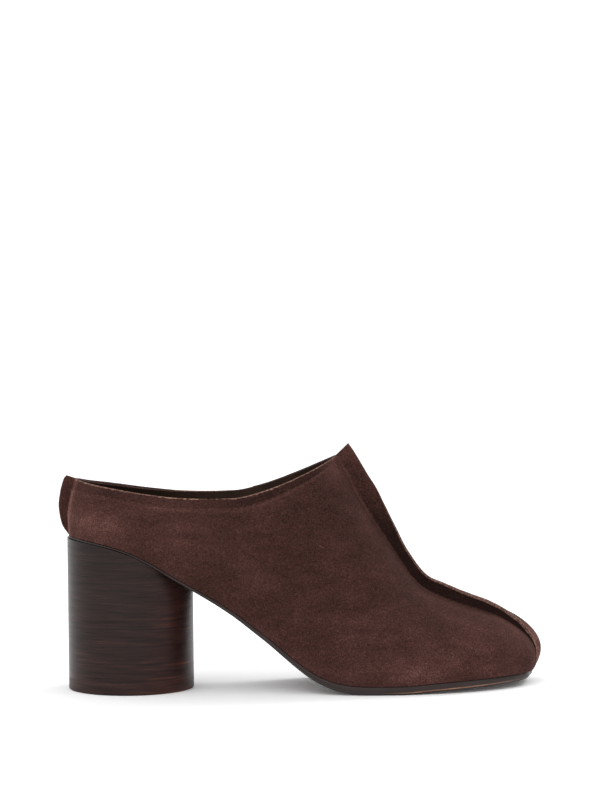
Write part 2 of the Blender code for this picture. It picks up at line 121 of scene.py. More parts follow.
collarRows = [
    (0.000, 1.000, 0.000),
    (0.055, 0.935, 0.000),
    (0.114, 0.885, 0.000),
    (0.183, 0.832, 0.000),
    (0.285, 0.752, 0.000),
    (0.411, 0.680, 0.000),
    (0.540, 0.655, 0.030),
    (0.610, 0.660, 0.070),
    (0.690, 0.705, 0.180),
    (0.770, 0.775, 0.310),
    (0.888, 0.870, 0.650),
    (0.930, 0.910, 0.785),
    (0.975, 0.965, 0.920),
    (1.000, 1.000, 1.000),
]
vampSeamColumns = ("row", "height", "slant")
vampSeamRows = [
    (8.0, 0.90, 0.12),
    (8.4, 0.91, 0.04),
    (8.7, 0.97, 0.00),
    (9.0, 1.04, 0.00),
    (9.4, 0.94, 0.00),
    (9.8, 0.78, 0.00),
    (10.3, 0.64, 0.00),
    (11.0, 0.65, 0.00),
    (11.8, 0.76, 0.00),
    (12.5, 0.72, 0.00),
    (13.5, 0.62, 0.00),
    (14.3, 0.48, 0.00),
    (15.0, 0.34, 0.00),
    (15.7, 0.14, 0.00),
    (16.3, 0.05, 0.00),
    (17.0, 0.00, 0.00),
]
backSeamColumns = ("up", "height")
backSeamRows = [
    (0.00, 0.02),
    (0.09, 0.52),
    (0.23, 0.80),
    (0.34, 0.94),
    (0.49, 0.99),
    (0.62, 1.02),
    (0.83, 1.02),
    (1.00, 0.88),
]


def byName(names, rows):
    return {name: np.array([row[place] for row in rows]) for place, name in enumerate(names)}


last = byName(lastColumns, lastRows)
profile = byName(profileColumns, profileRows)
collar = byName(collarColumns, collarRows)
vampSeam = byName(vampSeamColumns, vampSeamRows)
backSeam = byName(backSeamColumns, backSeamRows)
lastRow = len(lastRows) - 1
heelRadius = last["outerY"][shoe["seatRow"]] * shoe["ballWidth"]
backX = -heelRadius
carriedOn = 4      # rows that a curve carries on past each seam


def curveThrough(values, where):      # cubic spline through evenly numbered values
    count = len(values)
    matrix = np.eye(count)
    bend = np.zeros(count)
    for i in range(1, count - 1):
        matrix[i, i - 1:i + 2] = (1, 4, 1)
        bend[i] = 6 * (values[i - 1] - 2 * values[i] + values[i + 1])
    bend = np.linalg.solve(matrix, bend)
    i = np.clip(np.floor(where).astype(int), 0, count - 2)
    after = where - i
    before = 1 - after
    curve = (before ** 3 - before) * bend[i] + (after ** 3 - after) * bend[i + 1]
    return before * values[i] + after * values[i + 1] + curve / 6


def steady(knots, values, where):      # stays level between equal values and never swings past one
    step = np.diff(knots)
    rate = np.diff(values) / step
    slope = np.zeros(len(knots))
    slope[0] = rate[0]
    slope[-1] = rate[-1]
    for i in range(1, len(knots) - 1):
        if rate[i - 1] * rate[i] > 0:
            near = 2 * step[i] + step[i - 1]
            far = step[i] + 2 * step[i - 1]
            slope[i] = (near + far) / (near / rate[i - 1] + far / rate[i])
    where = np.clip(where, knots[0], knots[-1])
    i = np.clip(np.searchsorted(knots, where, side="right") - 1, 0, len(knots) - 2)
    h = step[i]
    s = (where - knots[i]) / h
    level = (1 + 2 * s) * (1 - s) ** 2 * values[i] + s * s * (3 - 2 * s) * values[i + 1]
    return level + h * (s * (1 - s) ** 2 * slope[i] - s * s * (1 - s) * slope[i + 1])


def smooth(value, low, high):      # 0 below low, 1 above high, an even ease between
    share = np.clip((value - low) / (high - low), 0, 1)
    return share * share * (3 - 2 * share)


def lastValue(name, row, toeTurns=False):
    values = last[name]
    back = values[carriedOn:0:-1]
    toe = values[-2:-2 - carriedOn:-1]
    if toeTurns:
        toe = 2 * values[-1] - toe
    return curveThrough(np.concatenate((back, values, toe)), row + carriedOn)


def edgeValue(axis, side, row):      # the foot's edge as one closed curve round both sides
    outer = last["outer" + axis]
    inner = last["inner" + axis]
    if axis == "Y":
        toeY = last["ridgeY"][-1]
        outer = np.append(-outer[:-1], toeY)
        inner = np.append(inner[:-1], toeY)
    first, second = (outer, inner) if side < 0 else (inner, outer)
    back = second[carriedOn:0:-1]
    toe = second[-2:-2 - carriedOn:-1]
    return curveThrough(np.concatenate((back, first, toe)), row + carriedOn)


def seatZ(x):      # lower edge of the upper
    along = (x - backX) / shoe["length"]
    ball = shoe["soleThickness"] + shoe["fit"]
    drop = steady(profile["along"], profile["drop"], along)
    spring = steady(profile["along"], profile["spring"], along)
    return ball + drop * (shoe["seatHeight"] - ball) + spring * shoe["toeSpring"]


def seatStretch(x):      # how much longer an upright line through a layer is than its thickness
    step = 0.0005
    slope = (seatZ(x + step) - seatZ(x - step)) / (2 * step)
    return np.sqrt(1 + slope ** 2)


def soleBottomZ(x):
    along = (x - backX) / shoe["length"]
    share = steady(profile["along"], profile["sole"], along)
    return seatZ(x) - shoe["fit"] - share * shoe["soleThickness"] * seatStretch(x)


def footEdge(side, row):
    place = []
    turn = []
    step = 0.01
    for axis, scale in (("X", shoe["length"]), ("Y", shoe["ballWidth"])):
        place.append(edgeValue(axis, side, row) * scale)
        turn.append((edgeValue(axis, side, row + step) - edgeValue(axis, side, row - step)) * scale)
    long = np.hypot(*turn)
    return place[0] + backX, place[1], -side * turn[1] / long, side * turn[0] / long


def ridge(row):
    x = lastValue("ridgeX", row, True) * shoe["length"] + backX
    y = lastValue("ridgeY", row) * shoe["ballWidth"]
    z = lastValue("ridgeZ", row, True) * shoe["throatHeight"]
    toeZ = last["ridgeZ"][-1] * shoe["throatHeight"]
    poleZ = seatZ(last["ridgeX"][-1] * shoe["length"] + backX)
    nearToe = np.clip((row - shoe["throatRow"]) / (lastRow - shoe["throatRow"]), 0, 1) ** 4
    return x, y, z + (poleZ - toeZ) * nearToe


def squareTo(run):      # outward direction square to a line in the seam's plane
    out = np.stack((-run[..., 2], np.zeros_like(run[..., 0]), run[..., 0]), -1)
    return out / np.linalg.norm(out, axis=-1, keepdims=True)


def ridgeRun(rows):
    step = 0.01
    run = np.stack(ridge(rows + step), -1) - np.stack(ridge(rows - step), -1)
    run[..., 1] = 0
    return run / np.linalg.norm(run, axis=-1, keepdims=True)


def body(side, row, up):      # point of the last: row from back to toe, up from sole to ridge
    footX, footY, outX, outY = footEdge(side, row)
    footZ = seatZ(footX)
    topX, topY, topZ = ridge(row)
    rise = lastValue("rise", row)
    reach = lastValue("reach", row)
    lean = lastValue("lean", row)
    height = topZ - footZ
    flare = lastValue("flare", row) * height
    tilt = lastValue("outerTilt" if side < 0 else "innerTilt", row)
    climb = tilt * reach * (topY - footY)
    front = squareTo(ridgeRun(row))
    low = (footX + outX * flare, footY + outY * flare, footZ + rise * height)
    high = (topX - lean * (topX - footX) - climb * front[..., 0],
            topY - reach * (topY - footY),
            topZ - lean * height - climb * front[..., 2])
    down = 1 - up
    weights = (down ** 3, 3 * down ** 2 * up, 3 * down * up ** 2, up ** 3)
    corners = ((footX, footY, footZ), low, high, (topX, topY, topZ))
    return np.stack([sum(w * c[axis] for w, c in zip(weights, corners)) for axis in range(3)], -1)


def collarZ(x):
    throatX = last["ridgeX"][shoe["throatRow"]] * shoe["length"] + backX
    startX = shoe["collarStart"] * shoe["length"] + backX
    along = (x - startX) / (throatX - startX)
    back = steady(collar["along"], collar["back"], along) * shoe["backHeight"]
    climb = shoe["throatHeight"] - shoe["seatHeight"] - shoe["backHeight"]
    return shoe["seatHeight"] + back + steady(collar["along"], collar["throat"], along) * climb


def collarUp(side, row):
    low = np.zeros_like(row)
    high = np.ones_like(row)
    for _ in range(40):      # each time halves the span that the collar's edge lies in
        middle = (low + high) / 2
        point = body(side, row, middle)
        under = point[..., 2] < collarZ(point[..., 0])
        low = np.where(under, middle, low)
        high = np.where(under, high, middle)
    return np.where(row < shoe["throatRow"], low, 1.0)


def outward(side, row, up):
    step = 0.004
    upIn = np.clip(up, step, 1 - step)
    rowIn = np.clip(row, step, lastRow - step)
    along = body(side, rowIn + step, upIn) - body(side, rowIn - step, upIn)
    across = body(side, rowIn, upIn + step) - body(side, rowIn, upIn - step)
    out = np.cross(along, across) * -side
    return out / np.linalg.norm(out, axis=-1, keepdims=True)


class Shell:      # gathers points, faces, their material slots and named values per point
    def __init__(self, *masks):
        self.places = {}
        self.points = []
        self.faces = []
        self.slots = []
        self.masks = {name: [] for name in masks}

    def vertex(self, point, values):
        key = tuple(round(float(value), 7) for value in point)
        if key not in self.places:
            self.places[key] = len(self.points)
            self.points.append(key)
            for name, kept in self.masks.items():
                kept.append(float(values.get(name, 0.0)))
        return self.places[key]

    def sheet(self, grid, slot=0, flip=False, **values):      # slot is one number, or one per face
        spots = [[self.vertex(grid[i][j], {name: value[i][j] for name, value in values.items()})
                  for j in range(len(grid[i]))] for i in range(len(grid))]
        for i in range(len(spots) - 1):
            for j in range(len(spots[i]) - 1):
                loop = [spots[i][j], spots[i][j + 1], spots[i + 1][j + 1], spots[i + 1][j]]
                loop = list(dict.fromkeys(loop[::-1] if flip else loop))
                if len(loop) > 2:
                    self.faces.append(loop)
                    self.slots.append(slot if np.isscalar(slot) else int(slot[i, j]))

    def toObject(self, name, materials, sharpDegrees=50):
        mesh = bpy.data.meshes.new(name)
        mesh.from_pydata(self.points, [], self.faces)
        for item in materials:
            mesh.materials.append(item)
        mesh.polygons.foreach_set("material_index", self.slots)
        for mask, kept in self.masks.items():
            mesh.attributes.new(mask, "FLOAT", "POINT").data.foreach_set("value", kept)
        mesh.shade_smooth()
        mesh.set_sharp_from_angle(angle=math.radians(sharpDegrees))
        piece = bpy.data.objects.new(name, mesh)
        bpy.context.scene.collection.objects.link(piece)
        print(name, "has", sum(len(face) - 2 for face in self.faces), "triangles")
        return piece


# Materials

def linear(hexColour):      # sRGB hex to the linear colour that a shader takes
    levels = [int(hexColour[i:i + 2], 16) / 255 for i in (1, 3, 5)]
    return tuple(v / 12.92 if v <= 0.04045 else ((v + 0.055) / 1.055) ** 2.4 for v in levels) + (1.0,)


def perMetre(millimetres):      # texture scale for marks of that size
    return 1000 / millimetres


def addNode(tree, kind, inputs=None, links=None, **settings):
    node = tree.nodes.new(kind)
    node.location = (260 * (len(tree.nodes) % 6) - 1800, -220 * (len(tree.nodes) // 6))
    for name, value in settings.items():
        setattr(node, name, value)
    for name, value in (inputs or {}).items():
        node.inputs[name].default_value = value
    for name, socket in (links or {}).items():
        tree.links.new(socket, node.inputs[name])
    return node


def newMaterial(name, **shaderInputs):      # with its tree, its shader and the place on the piece
    made = bpy.data.materials.new(name)
    made.use_nodes = True
    tree = made.node_tree
    shader = tree.nodes["Principled BSDF"]
    for socket, value in shaderInputs.items():
        shader.inputs[socket.replace("_", " ")].default_value = value
    return made, tree, shader, addNode(tree, "ShaderNodeTexCoord").outputs["Object"]


def addMask(tree, name):      # a value that the mesh keeps for each point
    return addNode(tree, "ShaderNodeAttribute", attribute_name=name).outputs["Fac"]


def addNoise(tree, where, markMm, detail, roughness=0.5):
    inputs = {"Scale": perMetre(markMm), "Detail": detail, "Roughness": roughness}
    return addNode(tree, "ShaderNodeTexNoise", inputs, {"Vector": where}).outputs[0]


def addStreaks(tree, where, longMm, thickMm, detail, roughness=0.5):      # marks drawn out level
    scale = (perMetre(longMm), perMetre(longMm), perMetre(thickMm))
    flat = addNode(tree, "ShaderNodeMapping", {"Scale": scale}, {"Vector": where})
    inputs = {"Scale": 1.0, "Detail": detail, "Roughness": roughness}
    return addNode(tree, "ShaderNodeTexNoise", inputs, {"Vector": flat.outputs[0]}).outputs[0]


def addSum(tree, shares, start=0.0):      # start, and each socket times its share
    total = None
    for socket, share in shares:
        inputs = {1: share, 2: start} if total is None else {1: share}
        links = {0: socket} if total is None else {0: socket, 2: total}
        total = addNode(tree, "ShaderNodeMath", inputs, links, operation="MULTIPLY_ADD").outputs[0]
    return total


def addRamp(tree, share, *stops):      # stops are (place, hex colour)
    ramp = addNode(tree, "ShaderNodeValToRGB", links={0: share})
    elements = ramp.color_ramp.elements
    while len(elements) < len(stops):
        elements.new(0.5)
    for element, (place, hexColour) in zip(elements, stops):
        element.position = place
        element.color = linear(hexColour)
    return ramp.outputs[0]


def addBump(tree, shader, height, strength, deepMm):
    bump = addNode(tree, "ShaderNodeBump", {"Strength": strength, "Distance": deepMm / 1000},
                   {"Height": height})
    tree.links.new(bump.outputs[0], shader.inputs["Normal"])


def napSuede():
    # Suede: split leather, buffed to a short nap. It has no gloss, and a soft glow where the nap
    # is seen from its side. Brushing leaves cloudy patches, and the cut fibres leave fine specks.
    # Painted highlights and painted shade along the seams and folds come in through a mask from the
    # mesh.
    look = {
        # size in millimetres, detail, roughness and share of each layer of marks
        "cloud": (34, 3.0, 0.55, 0.52),       # brushed patches
        "stroke": (8, 4.0, 0.6, 0.46),        # marks of single strokes
        "grain": (1.1, 2.0, 0.7, 0.60),       # real nap is about 0.2 mm, drawn coarser so that it shows
        "fibre": (0.55, 1.0, 0.5, 0.66),      # tufts, coarser too
        "level": -0.70,                       # brings the sum of all marks back between 0 and 1
        "colours": ((0.02, "#1f1310"), (0.36, "#38231f"), (0.62, "#492f2b"), (0.84, "#60413b"),
                    (1.00, "#7a5850")),
        # fine scratches, and a painted highlight over a painted shade line along the soft fold beside
        # the
        # seam over the toe: middle x and z, downward lean in degrees, length, width, how much lighter
        "marks": ((93.2, 71.4, 37, 6.4, 0.55, 0.40), (87.0, 89.2, 5, 1.8, 0.55, 0.22),
                  (62.5, 92.6, -20, 2.2, 0.50, 0.16), (170.5, 38.3, 20, 19, 1.7, 0.13),
                  (171.5, 35.9, 20, 16, 1.5, -0.07)),
        "marksY": -35,                        # they are on the outer side only
        "marksThroughMm": 30,
    }
    made, tree, shader, where = newMaterial("buffedSuede", Roughness=0.95, Sheen_Weight=0.03,
                                            Sheen_Roughness=0.5, Sheen_Tint=linear("#b08a7c"),
                                            Specular_IOR_Level=0.06)
    slanted = addNode(tree, "ShaderNodeMapping", {"Rotation": (0.0, 0.5, 0.0),
                                                  "Scale": (0.5, 1.0, 1.2)}, {"Vector": where})
    shares = []
    for name in ("cloud", "stroke", "grain", "fibre"):
        place = slanted.outputs[0] if name == "stroke" else where
        shares.append((addNoise(tree, place, *look[name][:3]), look[name][3]))
    grain = shares[2][0]
    # a mask from the mesh: brushed nap, with painted highlights and painted shade along the seams and
    # folds
    shares.append((addMask(tree, "brushed"), 1.0))
    for x, z, lean, long, wide, lighter in look["marks"]:
        # seen from its middle, each is a long thin ellipse that fades out at its rim
        middle = (x / 1000, look["marksY"] / 1000, z / 1000)
        size = (long / 2000, look["marksThroughMm"] / 1000, wide / 2000)
        inputs = {"Location": middle, "Rotation": (0.0, math.radians(lean), 0.0), "Scale": size}
        around = addNode(tree, "ShaderNodeMapping", inputs, {"Vector": where}, vector_type="TEXTURE")
        away = addNode(tree, "ShaderNodeVectorMath", links={0: around.outputs[0]}, operation="LENGTH")
        fade = {"From Min": 1.1, "From Max": 0.5, "To Min": 0.0, "To Max": lighter}
        mark = addNode(tree, "ShaderNodeMapRange", fade, {"Value": away.outputs["Value"]})
        shares.append((mark.outputs[0], 1.0))
    colour = addRamp(tree, addSum(tree, shares, look["level"]), *look["colours"])
    tree.links.new(colour, shader.inputs["Base Color"])
    addBump(tree, shader, grain, 0.5, 0.4)
    return made


def cutEdge():
    # Raw cut edge of suede: undyed fibre shows through, lighter and drier than the face.
    look = {"markMm": 0.9, "colours": ((0.25, "#2c1c18"), (0.50, "#5b413a"), (0.70, "#86685d"),
                                       (0.90, "#aa8468"))}
    made, tree, shader, where = newMaterial("rawCutSuede", Roughness=0.95, Specular_IOR_Level=0.2)
    marks = addNoise(tree, where, look["markMm"], 3.0, 0.65)
    total = addSum(tree, ((marks, 1.0), (addMask(tree, "paler"), 1.0)))
    tree.links.new(addRamp(tree, total, *look["colours"]), shader.inputs["Base Color"])
    addBump(tree, shader, marks, 0.6, 0.3)
    return made


def grainLeather(name, darkHex, lightHex, roughness, grainMm, gloss=0.5):
    # Smooth grain leather, dyed or painted: fine pores, a dull shine and a slightly cloudy colour.
    cloudMm = 18
    made, tree, shader, where = newMaterial(name, Roughness=roughness, Specular_IOR_Level=gloss)
    pores = addNode(tree, "ShaderNodeTexVoronoi", {"Scale": perMetre(grainMm)}, {"Vector": where})
    colour = addRamp(tree, addNoise(tree, where, cloudMm, 4.0), (0.3, darkHex), (0.7, lightHex))
    tree.links.new(colour, shader.inputs["Base Color"])
    addBump(tree, shader, pores.outputs["Distance"], 0.25, 0.2)
    return made


def turnedStack(name, look):
    # Stacked leather: lifts glued in layers, turned round, stained and waxed. The cut fibres run
    # level as fine streaks, and the wax gives a satin shine that is brighter at the rims. The top
    # piece's rubber is streaked to go with it, so it is made the same way, coarser and duller.
    made, tree, shader, where = newMaterial(name, Roughness=look["roughness"], Specular_IOR_Level=0.15)
    streak = addStreaks(tree, where, look["streakLongMm"], look["streakMm"], 4.0, 0.72)
    band = addStreaks(tree, where, look["bandLongMm"], look["bandMm"], 2.0)
    # fine streaks over broader bands, and the glued joints a little darker
    total = addSum(tree, ((streak, 0.62), (band, 0.38), (addMask(tree, "joint"), -0.07)))
    cool = addRamp(tree, total, *look["colours"])
    warm = addRamp(tree, total, *look["redColours"])
    mixed = addNode(tree, "ShaderNodeMix", links={0: addMask(tree, "redder"), 6: cool, 7: warm},
                    data_type="RGBA")
    tree.links.new(mixed.outputs[2], shader.inputs["Base Color"])
    rough = addNode(tree, "ShaderNodeMapRange", {"To Min": look["roughness"] - 0.10,
                                                 "To Max": look["roughness"] + 0.14}, {"Value": streak})
    tree.links.new(rough.outputs[0], shader.inputs["Roughness"])
    addBump(tree, shader, streak, 0.6, 0.2)
    return made


suede = napSuede()
rawEdge = cutEdge()
lining = grainLeather("dyedLiningLeather", "#2f2119", "#433026", 0.75, 0.9, 0.2)
sockLeather = grainLeather("dyedSockLeather", "#2a1d17", "#3a2a22", 0.6, 0.8)
edgePaint = grainLeather("paintedSoleEdge", "#201715", "#2f2321", 0.42, 0.7, 0.26)
soleLeather = grainLeather("buffedSoleLeather", "#32231b", "#443127", 0.55, 0.6, 0.3)
print("materials made")

# Upper: two suede panels with a lining, joined by seams that stand up

upper = {
    "collarCuts": 120,
    "vampCuts": 120,
    "wallCuts": 56,
    "hemMm": 5.6,          # stitch line below the collar's edge
    "hemDepthMm": 0.20,
    "hemWideMm": 0.8,
    "puffMm": 0.12,        # how far the band above the stitches swells
    "puffRoundMm": 1.2,
    "bandFromMm": (0.2, 1.0),    # from the edge, and from the stitches
    "bandToMm": (-0.4, 0.6),
    "bandDarker": 0.07,    # how much darker that band is drawn, and what is added towards the throat
    "bandDarkerAtThroat": 0.11,
    "rawMm": 0.72,         # how much of the collar's cut edge shows from the side
    "rawUneven": 0.25,
    "unevenMm": 0.10,      # how unevenly the edges are cut
    # across the wall's top: share of the wall, rise in millimetres, whether it is cut unevenly
    "rim": ((0.06, 0.06, True), (0.34, 0.08, True), (0.62, 0.04, True), (0.90, -0.10, False)),
    "rimPaler": -0.26,
    "cornerPaler": 0.06,   # the cut's outer corner, and what is added about the arch
    "archPaler": 0.24,
    "archMm": (27, 13),    # middle and half width along x
}

# Strips drawn lighter or darker along the hem and the seams: middle and half width in millimetres from
# there, how much lighter, and what is added near the throat and near the toe. Those along the seams are
# painted shade and painted highlights.
napStrips = {
    "belowHem": (1.2, 0.9, 0.10, 0.05, 0.0),
    # painted shade on the vamp beside the standing seam
    "besideSeamShade": (0.0, 20, -0.13, 0.09, 0.08),
    # painted highlight along the fold where the vamp turns up into the seam
    "seamFoldHighlight": (1.4, 2.1, 0.20, 0.15, -0.14),
    # painted shadow in the seam's groove at the toe's tip
    "toeGrooveShade": (0.0, 0.9, 0.0, 0.0, -0.60),
    # painted highlight along the fold beside the back seam
    "backSeam": (0.5, 1.4, 0.38, 0.0, 0.0),
}

# Patches drawn lighter or darker, in millimetres like the creases after them: side, middle x and
# z, half length, half height, how much lighter. Most are brushed nap; those marked below are painted
# light and shade.
brushedSpots = [
    (-1, -17, 83, 14, 7, 0.27),
    (-1, 43, 58, 15, 11, -0.09),
    (-1, 24, 66, 14, 9, 0.06),
    (-1, 62, 78, 22, 16, -0.08),
    (-1, 92, 56, 22, 16, -0.06),
    (-1, 96, 96, 16, 12, -0.07),
    (-1, 132, 11, 24, 7, 0.19),
    (-1, 174, 26, 17, 9, 0.14),
    (-1, 180, 9, 16, 6, 0.09),
    # painted highlights on the quarter's rounded tip and fold by the throat
    (-1, 99, 113.5, 2.2, 2.0, 0.16),
    (-1, 101, 106, 6, 6, 0.12),
    # painted light: lighter beside the seam near the toe, where the vamp turns away from the lamps
    (-1, 184, 33, 14, 8, 0.08),
    (-1, 132, 36, 16, 8, 0.05),
    (-1, 25, 74, 4, 3, 0.09),
    (-1, 39, 71, 6, 4, 0.07),
    (-1, 144, 21, 6, 4, 0.07),
    (-1, 131, 17, 3, 5, 0.08),
    # painted shade low on the waist, towards the sole
    (-1, 63, 43, 12, 8, -0.17),
    (-1, 90, 22, 16, 8, -0.08),
    (-1, 16, 63, 12, 4, -0.08),
    (-1, 102, 87, 8, 10, -0.11),
    (-1, 115, 66, 7, 10, -0.11),
    (-1, 150, 45, 14, 6, 0.08),
    (-1, 124, 18, 6, 6, 0.09),
    (-1, 189, 22, 7, 9, 0.16),
    (-1, 3, 97, 9, 2.5, 0.09),
    (-1, 27, 91, 34, 4, 0.06),
    (1, 6, 84, 15, 9, 0.12),
    (1, 66, 74, 22, 14, -0.06),
    (1, 140, 14, 22, 7, 0.09),
    # painted highlight on the inner side of the toe, seen edge on
    (1, 200, 20, 15, 20, 0.42),
]

# Soft troughs where the leather gives: side, both ends as (x, z), half width and depth
creases = [
    (-1, (96, 30), (118, 44), 5, 0.25),
    (-1, (104, 22), (126, 34), 5, 0.20),
    (1, (92, 30), (116, 44), 5, 0.30),
    (1, (102, 20), (124, 33), 5, 0.25),
    (-1, (20, 84), (34, 70), 7, 0.15),
    (-1, (162, 38.5), (178, 33), 1.7, 0.25),
    (1, (18, 84), (32, 70), 7, 0.20),
]


def softLine(distance, middle, wide):      # 1 in the middle, fading out on both sides
    return np.exp(-((distance - middle) / wide) ** 2)


def creaseDepth(side, point):
    depth = np.zeros(point.shape[:-1])
    for creaseSide, (x0, z0), (x1, z1), wide, deep in creases:
        if creaseSide != side:
            continue
        x = point[..., 0] * 1000 - x0
        z = point[..., 2] * 1000 - z0
        along = ((x1 - x0) * x + (z1 - z0) * z) / ((x1 - x0) ** 2 + (z1 - z0) ** 2)
        near = np.clip(along, 0, 1)
        off = np.hypot(x - near * (x1 - x0), z - near * (z1 - z0))
        fade = 1 - np.abs(2 * near - 1) ** 2
        depth += deep / 1000 * fade * softLine(off, 0, wide)
    return depth


def spotNapAndLight(side, point):
    amount = np.zeros(point.shape[:-1])
    for spotSide, x, z, long, high, lighter in brushedSpots:
        if spotSide == side:
            alongX = softLine(point[..., 0] * 1000, x, long)
            amount += lighter * alongX * softLine(point[..., 2] * 1000, z, high)
    return amount


def napStrip(name, distance, nearThroat=0.0, nearToe=0.0):
    middle, wide, lighter, atThroat, atToe = napStrips[name]
    return (lighter + atThroat * nearThroat + atToe * nearToe) * softLine(distance * 1000, middle, wide)


def uneven(count, seed, smoothness):      # repeatable unevenness between -1 and 1
    swell = 1.6      # makes up for what the smoothing takes away
    noise = np.random.default_rng(seed).uniform(-1, 1, count + 2 * smoothness)
    return np.convolve(noise, np.hanning(2 * smoothness + 1), "valid") / smoothness * swell


def wallLevels():      # closer together near the top, where the hem and the folds are
    return 1 - (1 - np.linspace(0, 1, upper["wallCuts"] + 1)) ** 1.5


def wallGrid(side):
    share = np.linspace(0, 1, upper["collarCuts"] + 1)
    throat = shoe["throatRow"]
    collarPart = throat * np.sin(share * math.pi / 2)
    vampPart = throat + (lastRow - throat) * np.linspace(0, 1, upper["vampCuts"] + 1)[1:]
    rows = np.concatenate((collarPart, vampPart))
    top = collarUp(side, rows)[:, None]
    level = wallLevels()[None, :]
    up = level - (1 - top) * level ** 2
    row = np.repeat(rows[:, None], upper["wallCuts"] + 1, axis=1)
    point = body(side, row, up)
    out = outward(side, row, up)
    seamY = ridge(row)[1]
    onSeam = (row == 0) | (up == 1) | (row == lastRow)
    cuts = upper["collarCuts"]
    out[0] = squareTo(np.gradient(point[0], axis=0))
    out[cuts:, -1] = squareTo(ridgeRun(rows[cuts:]))
    edge = footEdge(side, rows)
    out[:, 0] = np.stack((edge[2], edge[3], np.zeros_like(edge[2])), -1)
    out[0, 0] = (-1, 0, 0)
    out[-1, :] = (1, 0, 0)
    inner = point - shoe["wall"] * out
    inner[:, 0, 2] = seatZ(inner[:, 0, 0])
    inner[..., 1] = np.where(onSeam, seamY, inner[..., 1])

    # how far each point lies below the collar's edge, along the wall
    steps = np.linalg.norm(np.diff(point, axis=1), axis=-1)
    fromTop = np.cumsum(steps[:, ::-1], axis=1)[:, ::-1]
    fromTop = np.concatenate((fromTop, np.zeros((len(rows), 1))), axis=1)
    below = fromTop.copy()
    below[cuts + 1:] = 1.0
    hem = upper["hemMm"] / 1000
    edging = upper["puffRoundMm"] / 1000
    groove = softLine((below - hem) * 1000, 0, upper["hemWideMm"]) * upper["hemDepthMm"] / 1000
    puff = smooth(below, 0, edging) * (1 - smooth(below, hem - edging, hem)) * upper["puffMm"] / 1000
    fadeOut = 1 - smooth(row, throat - 0.25, throat)
    push = (puff - groove) * fadeOut - creaseDepth(side, point)
    push *= ~onSeam
    outer = point + out * push[..., None]
    outer[..., 1] = seamY + side * np.hypot(outer[..., 1] - seamY, shoe["seamThickness"] / 2)
    outer[-1, :] = outer[-1, 0]
    inner[-1, :] = inner[-1, 0]

    # darker inside the hem and lighter just below it; painted shade beside the raised seam and in its
    # groove at the toe's tip, painted highlights along the folds
    band = smooth(below * 1000, *upper["bandFromMm"]) * fadeOut
    band *= 1 - smooth((below - hem) * 1000, *upper["bandToMm"])
    towardsThroat = smooth(row, throat - 3.0, throat - 1.2)
    brushed = spotNapAndLight(side, point)
    brushed -= (upper["bandDarker"] + upper["bandDarkerAtThroat"] * towardsThroat) * band
    brushed += napStrip("belowHem", below - hem, towardsThroat) * fadeOut
    vamp = smooth(row, throat - 0.5, throat + 0.5)
    nearThroat = 1 - smooth(row, throat + 0.7, throat + 2.2)
    nearToe = smooth(row, 10.5, 12.5)
    brushed += vamp * napStrip("besideSeamShade", fromTop, nearThroat, nearToe)
    brushed += vamp * napStrip("seamFoldHighlight", fromTop, nearThroat, nearToe)
    # painted shadow in the seam's groove at the toe's tip
    brushed += napStrip("toeGrooveShade", fromTop, 0.0, smooth(row, 14.8, 15.8) * (side < 0))
    # painted highlight along the fold beside the back seam
    brushed += napStrip("backSeam", point[..., 0] - point[0, :, 0]) * (1 - vamp)
    return outer, inner, rows, below, brushed


def buildUpper():
    shell = Shell("brushed", "paler")
    outer, inner, below, brushed = {}, {}, {}, {}
    cuts = upper["collarCuts"]
    raw = upper["rawMm"] / 1000
    for side in (-1, 1):
        outer[side], inner[side], rows, below[side], brushed[side] = wallGrid(side)
        # the top of the wall: suede, the cut edge, then the lining
        tip = outer[side][:cuts + 1, -1]
        rise = tip - outer[side][:cuts + 1, -4]
        rise /= np.linalg.norm(rise, axis=-1, keepdims=True)
        jag = uneven(cuts + 1, 11 + side, 2)[:, None] * upper["unevenMm"] / 1000 * rise
        across = inner[side][:cuts + 1, -1] - tip
        # the outer corner of the cut is the palest, most of all at the arch
        ragged = raw * (1 + upper["rawUneven"] * uneven(len(rows), 31 + side, 1))[:, None]
        isRaw = (below[side][:-1, :-1] + below[side][1:, 1:]) / 2 < ragged[:-1]
        atArch = softLine(outer[side][..., 0] * 1000, *upper["archMm"])
        pale = upper["cornerPaler"] + upper["archPaler"] * atArch
        shell.sheet(outer[side], isRaw.astype(int), side < 0, brushed=brushed[side], paler=pale)
        shell.sheet(inner[side], 2, side > 0)
        rim = [tip]
        for share, riseMm, isUneven in upper["rim"]:
            rim.append(tip + across * share + rise * (riseMm / 1000) + jag * isUneven)
        rim.append(inner[side][:cuts + 1, -1])
        for place in range(len(rim) - 1):
            pair = np.stack((rim[place], rim[place + 1]), 0)
            slot = 1 if place < len(rim) - 2 else 2
            shell.sheet(pair, slot, side > 0, paler=np.full(pair.shape[:2], upper["rimPaler"]))
        under = np.stack((inner[side][:, 0], outer[side][:, 0]), 0)
        shell.sheet(under, 0, side > 0)
    addVampFin(shell, outer, rows[cuts:])
    addBackFin(shell, outer)
    return shell, outer, below


